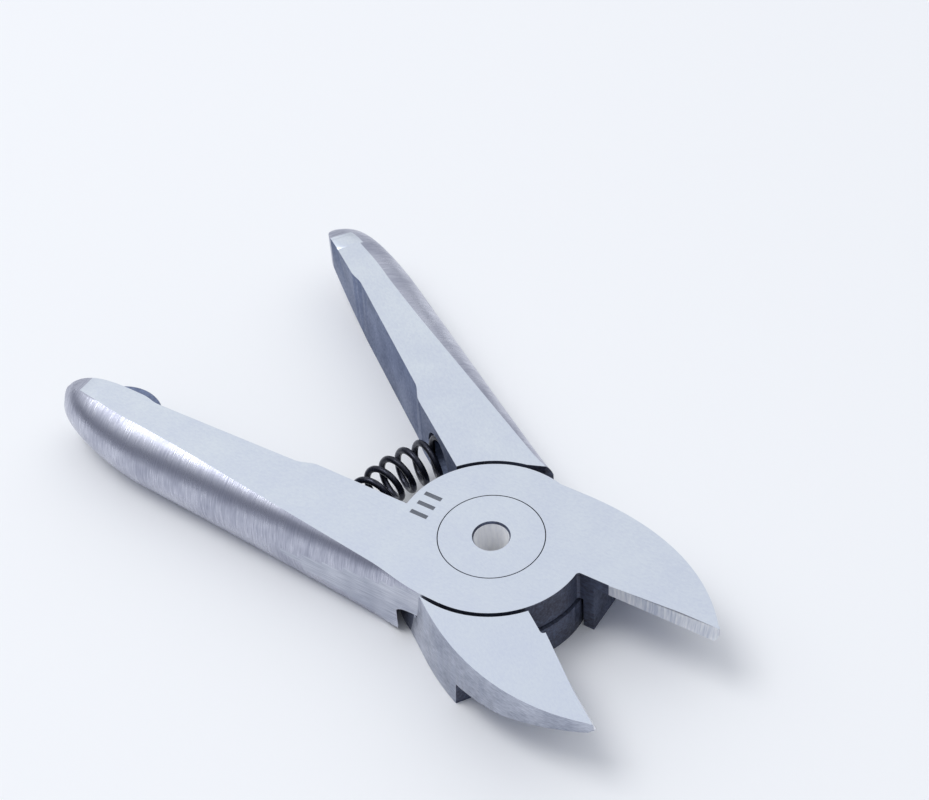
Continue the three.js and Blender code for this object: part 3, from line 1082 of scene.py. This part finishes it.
@dataclass
class LeverA(Lever):
    """The lever on top, which carries the stop pad and three etched ticks."""

    notch_r: float = 0.6
    notch_overlap: float = 0.05
    pad_y: float = 50.0
    tongue_length: float = 4.0
    tongue_height: float = 3.8
    tongue_floor_x: float = -4.1
    tongue_gap: float = 0.1
    tick_y: float = 8.75
    tick_x: float = 0.3
    tick_count: int = 3
    tick_pitch: float = 1.5
    tick_size: tuple[float, float] = (0.55, 2.2)
    tick_depth: float = 0.04

    def recesses(self, lap: float) -> list[bpy.types.Object]:
        """Make room for lever B's hub, and a wider filleted relief beside the handle.

        Args:
            lap: Height of the lap's ceiling.

        Returns:
            The two cutters.
        """
        steps, fillet, relief_r = self.round_steps, self.recess_fillet, self.recess_r_handle
        rings = [(relief_r + fillet, -CLEAR), (relief_r + fillet, 0.0)]
        for angle in (math.radians(18 * i) for i in range(1, 6)):
            rings.append(
                (relief_r + fillet * (1 - math.sin(angle)), fillet * (1 - math.cos(angle)))
            )
        for angle in (math.radians(15 * i) for i in range(7)):
            drop = fillet * (1 - math.sin(angle))
            rings.append((relief_r - fillet * (1 - math.cos(angle)), lap - drop))
        relief = turned_stack("relief", rings, steps)
        half = rectangle((0.0, -FAR / 2), (FAR / 2, FAR / 2))
        combine(relief, [prism("inside", half, Axis.Z, BELOW, ABOVE)], Join.CUT)
        return [disc("recess", self.recess_r_lower, -CLEAR, lap, steps), relief]

    def extra_solids(self, lap: float) -> list[bpy.types.Object]:
        """Make the fillet in the corner between the hub and the heel.

        Args:
            lap: Height of the lap's ceiling.

        Returns:
            The fillet.
        """
        radius, overlap = self.notch_r, self.notch_overlap
        x, y = self.heel_x - radius + overlap, overlap - self.hub_r - radius
        section = [(x + 2 * radius, -self.hub_r + radius), (x, -self.hub_r + radius)]
        section += [
            (x + radius * math.cos(angle), y + radius * math.sin(angle))
            for angle in (math.radians(90 - 10 * i) for i in range(10))
        ]
        section.append((x + 2 * radius, y))
        return [prism("notch_fillet", section, Axis.Z, lap, self.thickness)]

    def extra_cutters(self) -> list[bpy.types.Object]:
        """Make the cutters for the pad's tongue and the etched ticks.

        Returns:
            The four cutters.
        """
        half_y = self.tongue_length / 2 + self.tongue_gap
        half_z = self.tongue_height / 2 + self.tongue_gap
        y, z = self.pad_y, self.mid_z
        section = rectangle((y - half_y, z - half_z), (y + half_y, z + half_z))
        slot = prism("slot", section, Axis.X, self.tongue_floor_x, self.inner_clear_x)
        return [slot] + [self.tick(number) for number in range(self.tick_count)]

    def tick(self, number: int) -> bpy.types.Object:
        """Make the cutter for one etched tick.

        Args:
            number: Which tick, from 0.

        Returns:
            The cutter.
        """
        half_x, half_y = (size / 2 for size in self.tick_size)
        x, y = self.tick_x + (number - self.tick_count // 2) * self.tick_pitch, self.tick_y
        section = rectangle((x - half_x, y - half_y), (x + half_x, y + half_y))
        low, high = self.thickness - self.tick_depth, self.thickness + CLEAR
        return prism("tick", section, Axis.Z, low, high)

    def finish_of(self, normal: Vector, centre: Vector) -> Finish:
        """Tell how a face is finished, the etched floors included.

        Args:
            normal: The face's normal.
            centre: The face's middle.

        Returns:
            Its finish.
        """
        below = self.thickness - centre.z
        near_x = abs(centre.x - self.tick_x) < LIMITS.etch_reach
        near_y = abs(centre.y - self.tick_y) < self.tick_size[1]
        if LIMITS.etch_from < below < LIMITS.etch_to and near_x and near_y:
            return Finish.ETCHED
        return super().finish_of(normal, centre)


@dataclass
class PivotRivet:
    """Hollow rivet, countersunk and ground flush at both ends."""

    head_r: float = 5.97
    shank_r: float = 4.6
    head_depth: float = 1.8
    head_land: float = 0.4
    rim_break: float = 0.03
    hole_r: float = 2.0
    hole_break: float = 0.15
    hole_break_depth: float = 0.3
    thickness: float = 8.9
    steps: int = 192

    def build(self) -> bpy.types.Object:
        """Turn the rivet and put it in the pivot.

        Returns:
            The finished piece, riding with lever A.
        """
        lower = [
            (self.hole_r, self.hole_break_depth),
            (self.hole_r + self.hole_break, 0.0),
            (self.head_r - self.rim_break, 0.0),
            (self.head_r, self.rim_break),
            (self.head_r, self.head_land),
            (self.shank_r, self.head_depth),
        ]
        profile = lower + [(r, self.thickness - z) for r, z in reversed(lower)]
        rivet = turned("pivot_rivet_flush", profile, self.steps)
        order = [Finish.SURFACE_GROUND, Finish.DARK_OXIDE, Finish.BORE_PAINTED_WHITE]
        for finish in order:
            rivet.data.materials.append(finish.value.build())
        for face in rivet.data.polygons:
            flat = abs(face.normal.z) > LIMITS.roll_lean
            # The bore's faces are painted plain white as painted light.
            in_bore = face.center.xy.length < self.hole_r + self.hole_break / 3
            # Other faces that are not flat, the chamfer round the bore among them, take the dark
            # scale as painted shade.
            face.material_index = 0 if flat else 2 if in_bore else 1
            face.use_smooth = not flat
        rivet.data.transform(Matrix.Translation(PIVOT) @ Matrix.Scale(MM, 4))
        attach(rivet, BODY_A)
        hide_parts("pivot_rivet")
        return rivet


@dataclass
class StopPad:
    """Slice of a round bar, let into lever A's inner face by a tongue."""

    place_y: float = 50.0
    radius: float = 5.6
    face_x: float = 0.9
    height: float = 4.8
    seat_x: float = -1.2
    tongue_length: float = 4.0
    tongue_height: float = 3.8
    tongue_x: float = -3.9
    tongue_overlap: float = 0.4
    mid_z: float = 4.45
    edge_round: float = 0.3
    steps: int = 28

    def build(self) -> bpy.types.Object:
        """Make the pad in lever A's place.

        Returns:
            The finished piece, riding with lever A.
        """
        centre_x = self.face_x - self.radius
        half = math.acos((self.seat_x - centre_x) / self.radius)
        turns = [half * (2 * i / self.steps - 1) for i in range(self.steps + 1)]
        section = [
            (centre_x + self.radius * math.cos(turn), self.place_y + self.radius * math.sin(turn))
            for turn in turns
        ]
        low, high = self.mid_z - self.height / 2, self.mid_z + self.height / 2
        pad = prism("stop_pad_oxide", section, Axis.Z, low, high)
        break_edges(pad, self.edge_round)
        half_y, half_z = self.tongue_length / 2, self.tongue_height / 2
        root = rectangle(
            (self.tongue_x, self.place_y - half_y),
            (self.seat_x + self.tongue_overlap, self.place_y + half_y),
        )
        tongue = prism("tongue", root, Axis.Z, self.mid_z - half_z, self.mid_z + half_z)
        combine(pad, [tongue], Join.ADD)
        pad.data.materials.clear()
        pad.data.materials.append(Finish.OXIDE.value.build(OPEN_ANGLE / 2))
        opened = Matrix.Rotation(OPEN_ANGLE / 2, 4, "Z")
        pad.data.transform(Matrix.Translation(PIVOT) @ opened @ Matrix.Scale(MM, 4))
        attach(pad, BODY_A)
        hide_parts("stop_pad")
        return pad


# ---- Spring -------------------------------------------------------------------------------


@dataclass
class ReturnSpring:
    """Compression spring on an arc about the pivot, with an end in each lever's pocket."""

    arc_r: float = 17.5
    coil_r: float = 2.35
    wire_r: float = 0.4
    turns: float = 8.75
    straight: float = 3.54
    mid_z: float = 4.45
    phase: float = 0.35
    points: int = 520
    sides: int = 14

    def tree(self, material: bpy.types.Material) -> bpy.types.NodeTree:
        """Build the Geometry Nodes tree that winds the wire.

        Args:
            material: The wire's finish.

        Returns:
            The tree, with named inputs for the spring's sizes.
        """
        tree = bpy.data.node_groups.new("wound_spring", "GeometryNodeTree")
        interface = tree.interface
        interface.new_socket("Geometry", in_out="INPUT", socket_type="NodeSocketGeometry")
        for label in ("Arc Radius", "Coil Radius", "Wire Radius", "Turns", "Straight", "Arc Angle"):
            interface.new_socket(label, in_out="INPUT", socket_type="NodeSocketFloat")
        interface.new_socket("Geometry", in_out="OUTPUT", socket_type="NodeSocketGeometry")
        given = tree.nodes.new("NodeGroupInput").outputs

        def math_node(operation: str, *values: object) -> bpy.types.NodeSocket:
            """Add one Math node and return its result."""
            inputs = dict(enumerate(values))
            return add_node(tree, "ShaderNodeMath", inputs, operation=operation).outputs[0]

        line = add_node(tree, "GeometryNodeCurvePrimitiveLine")
        wire = add_node(
            tree,
            "GeometryNodeResampleCurve",
            {"Curve": line.outputs["Curve"], "Count": self.points},
        )
        share = add_node(tree, "GeometryNodeSplineParameter").outputs["Factor"]
        kept = add_node(
            tree,
            "GeometryNodeStoreNamedAttribute",
            {"Geometry": wire.outputs["Curve"], "Name": "along_wire", "Value": share},
            data_type="FLOAT",
            domain="POINT",
        )
        arc_length = math_node("MULTIPLY", given["Arc Radius"], given["Arc Angle"])
        whole = math_node("MULTIPLY_ADD", given["Straight"], 2.0, arc_length)
        half_arc = math_node("MULTIPLY", arc_length, 0.5)
        distance = math_node("MULTIPLY", math_node("SUBTRACT", share, 0.5), whole)
        low = math_node("MULTIPLY", half_arc, -1.0)
        on_arc = math_node("MINIMUM", math_node("MAXIMUM", distance, low), half_arc)
        past = math_node("SUBTRACT", distance, on_arc)
        angle = math_node("DIVIDE", on_arc, given["Arc Radius"])
        turns = math_node("MULTIPLY_ADD", share, given["Turns"], -self.phase)
        turn = math_node("MULTIPLY", turns, 2 * math.pi)
        out = math_node(
            "MULTIPLY_ADD", math_node("COSINE", turn), given["Coil Radius"], given["Arc Radius"]
        )
        sine, cosine = math_node("SINE", angle), math_node("COSINE", angle)
        x = math_node("MULTIPLY_ADD", past, cosine, math_node("MULTIPLY", out, sine))
        y = math_node(
            "SUBTRACT", math_node("MULTIPLY", out, cosine), math_node("MULTIPLY", past, sine)
        )
        z = math_node("MULTIPLY", math_node("SINE", turn), given["Coil Radius"])
        place = add_node(tree, "ShaderNodeCombineXYZ", {"X": x, "Y": y, "Z": z})
        wound = add_node(
            tree,
            "GeometryNodeSetPosition",
            {"Geometry": kept.outputs["Geometry"], "Position": place.outputs["Vector"]},
        )
        section = add_node(
            tree,
            "GeometryNodeCurvePrimitiveCircle",
            {"Resolution": self.sides, "Radius": given["Wire Radius"]},
        )
        skin = add_node(
            tree,
            "GeometryNodeCurveToMesh",
            {
                "Curve": wound.outputs["Geometry"],
                "Profile Curve": section.outputs["Curve"],
                "Fill Caps": True,
            },
        )
        smooth = add_node(
            tree, "GeometryNodeSetShadeSmooth", {"Geometry": skin.outputs["Mesh"]}
        )
        real = add_node(
            tree, "GeometryNodeRealizeInstances", {"Geometry": smooth.outputs["Geometry"]}
        )
        dressed = add_node(
            tree,
            "GeometryNodeSetMaterial",
            {"Geometry": real.outputs["Geometry"], "Material": material},
        )
        add_node(tree, "NodeGroupOutput", {"Geometry": dressed.outputs["Geometry"]})
        return tree

    def build(self) -> bpy.types.Object:
        """Wind the spring and put it in place.

        Returns:
            The finished piece.
        """
        material = SPRING_FINISH.build()
        spring = new_object("return_spring_wire", bpy.data.meshes.new("return_spring_wire"))
        modifier = spring.modifiers.new("wind", "NODES")
        modifier.node_group = self.tree(material)
        sizes = {
            "Arc Radius": self.arc_r,
            "Coil Radius": self.coil_r,
            "Wire Radius": self.wire_r,
            "Turns": self.turns,
            "Straight": self.straight,
            "Arc Angle": OPEN_ANGLE,
        }
        for socket in modifier.node_group.interface.items_tree:
            if socket.in_out == "INPUT" and socket.name in sizes:
                modifier[socket.identifier] = sizes[socket.name]
        baked(spring)
        raise_to = Vector((0, 0, self.mid_z * MM))
        spring.data.transform(Matrix.Translation(PIVOT + raise_to) @ Matrix.Scale(MM, 4))
        self.follow(spring)
        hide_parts("return_spring")
        return spring

    def follow(self, spring: bpy.types.Object) -> None:
        """Drop the wire's along_wire attribute and bake the spring's placement into its mesh.

        Args:
            spring: The wound wire, in place.
        """
        along = spring.data.attributes["along_wire"]
        spring.data.attributes.remove(along)
        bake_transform(spring)


# ---- Studio -------------------------------------------------------------------------------


@dataclass
class Studio:
    """Camera, pale floor and soft light."""

    camera_mm: tuple[float, float, float] = (-85.2, -107.8, 169.2)
    heading: float = -37.55
    depression: float = 45.276
    roll: float = -4.2175
    lens_mm: float = 73.886
    sensor_mm: float = 36.0
    clip_m: float = 0.01
    floor_m: float = 6.0
    floor_drop_m: float = 0.00005
    floor_roughness: float = 0.9
    key_m: tuple[float, float, float] = (-0.24, 0.28, 0.86)
    key_side_m: float = 0.45
    key_watts: float = 2.6
    sky_lean: float = 0.4
    sky_rise: float = 0.91
    sky: tuple[tuple[float, str], ...] = (
        (0.0, "#a4a8b4"), (0.12, "#858893"), (0.36, "#8a8d98"),
        (0.62, "#f2f5fa"), (0.9, "#fdffff"), (0.97, "#dbe0ec"),
    )

    def camera(self) -> None:
        """Place the camera about the pivot's place on the floor."""
        data = bpy.data.cameras.new("camera")
        data.lens, data.sensor_width = self.lens_mm, self.sensor_mm
        data.clip_start = self.clip_m
        camera = bpy.data.objects.new("camera", data)
        bpy.context.scene.collection.objects.link(camera)
        camera.matrix_world = (
            Matrix.Translation(PIVOT + Vector(self.camera_mm) * MM)
            @ Matrix.Rotation(math.radians(self.heading), 4, "Z")
            @ Matrix.Rotation(math.radians(90 - self.depression), 4, "X")
            @ Matrix.Rotation(math.radians(self.roll), 4, "Z")
        )
        bpy.context.scene.camera = camera

    def floor(self) -> None:
        """Lay a large pale floor just under the head."""
        half = self.floor_m / 2
        corners = [(x, y, 0.0) for x, y in rectangle((-half, -half), (half, half))]
        mesh = bpy.data.meshes.new("studio_floor")
        mesh.from_pydata(corners, [], [(0, 1, 2, 3)])
        floor = new_object("studio_floor", mesh)
        floor.location.z = -self.floor_drop_m
        material = bpy.data.materials.new("pale_paper")
        material.use_nodes = True
        shader = material.node_tree.nodes["Principled BSDF"]
        shader.inputs["Base Color"].default_value = linear("#f6f7f9")
        shader.inputs["Roughness"].default_value = self.floor_roughness
        mesh.materials.append(material)

    def key_light(self) -> None:
        """Hang one square soft light that points at the middle of the floor."""
        data = bpy.data.lights.new("key_above", "AREA")
        data.size, data.energy = self.key_side_m, self.key_watts
        lamp = bpy.data.objects.new("key_above", data)
        bpy.context.scene.collection.objects.link(lamp)
        lamp.location = self.key_m
        lamp.rotation_euler = (-Vector(self.key_m)).to_track_quat("-Z", "Y").to_euler()

    def surroundings(self) -> None:
        """Light the room: brightest above and behind, dimmer low down and towards the front."""
        world = bpy.data.worlds.new("studio")
        bpy.context.scene.world = world
        world.use_nodes = True
        tree = world.node_tree
        tree.nodes.clear()
        direction = add_node(tree, "ShaderNodeTexCoord").outputs["Generated"]
        heading = math.radians(self.heading)
        back = Vector((-math.sin(heading), math.cos(heading), 0.0))
        brightest = (self.sky_lean * back + Vector((0.0, 0.0, self.sky_rise))).normalized()
        towards = add_node(
            tree, "ShaderNodeVectorMath", {0: direction, 1: brightest}, operation="DOT_PRODUCT"
        )
        ramp = add_node(tree, "ShaderNodeValToRGB", {"Fac": towards.outputs["Value"]})
        elements = ramp.color_ramp.elements
        for index, (place, colour) in enumerate(self.sky):
            element = elements[index] if index < 2 else elements.new(place)
            element.position, element.color = place, linear(colour)
        background = add_node(
            tree, "ShaderNodeBackground", {"Color": ramp.outputs["Color"], "Strength": 1.0}
        )
        add_node(tree, "ShaderNodeOutputWorld", {"Surface": background.outputs["Background"]})

    def build(self) -> None:
        """Set up the camera, the floor and the lights."""
        self.camera()
        self.floor()
        self.surroundings()
        self.key_light()
        bpy.context.scene.view_settings.view_transform = "Standard"


def main() -> None:
    """Build the head piece by piece and report each one."""
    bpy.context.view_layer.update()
    Studio().build()
    makers = [
        LeverA("lever_a", BODY_A, hub_above=True, side=1),
        Lever(
            "lever_b",
            BODY_B,
            hub_above=False,
            side=-1,
            hub_r=11.1,
            jaw_tip_y=-27.3,
            jaw_pull=(0.68, 0.81),
            heel_x=0.6,
            inner_end_curve_y=56.0,
            nose_extra=0.4,
            end_bottom_z=4.9,
            handle_end_y=59.05,
        ),
        PivotRivet(),
        StopPad(),
        ReturnSpring(),
    ]
    for maker in makers:
        piece = maker.build()
        LOG.info("%s: %d faces", piece.name, len(piece.data.polygons))


if __name__ == "__main__":
    logging.basicConfig(level=logging.INFO, format="%(name)s: %(message)s")
    main()
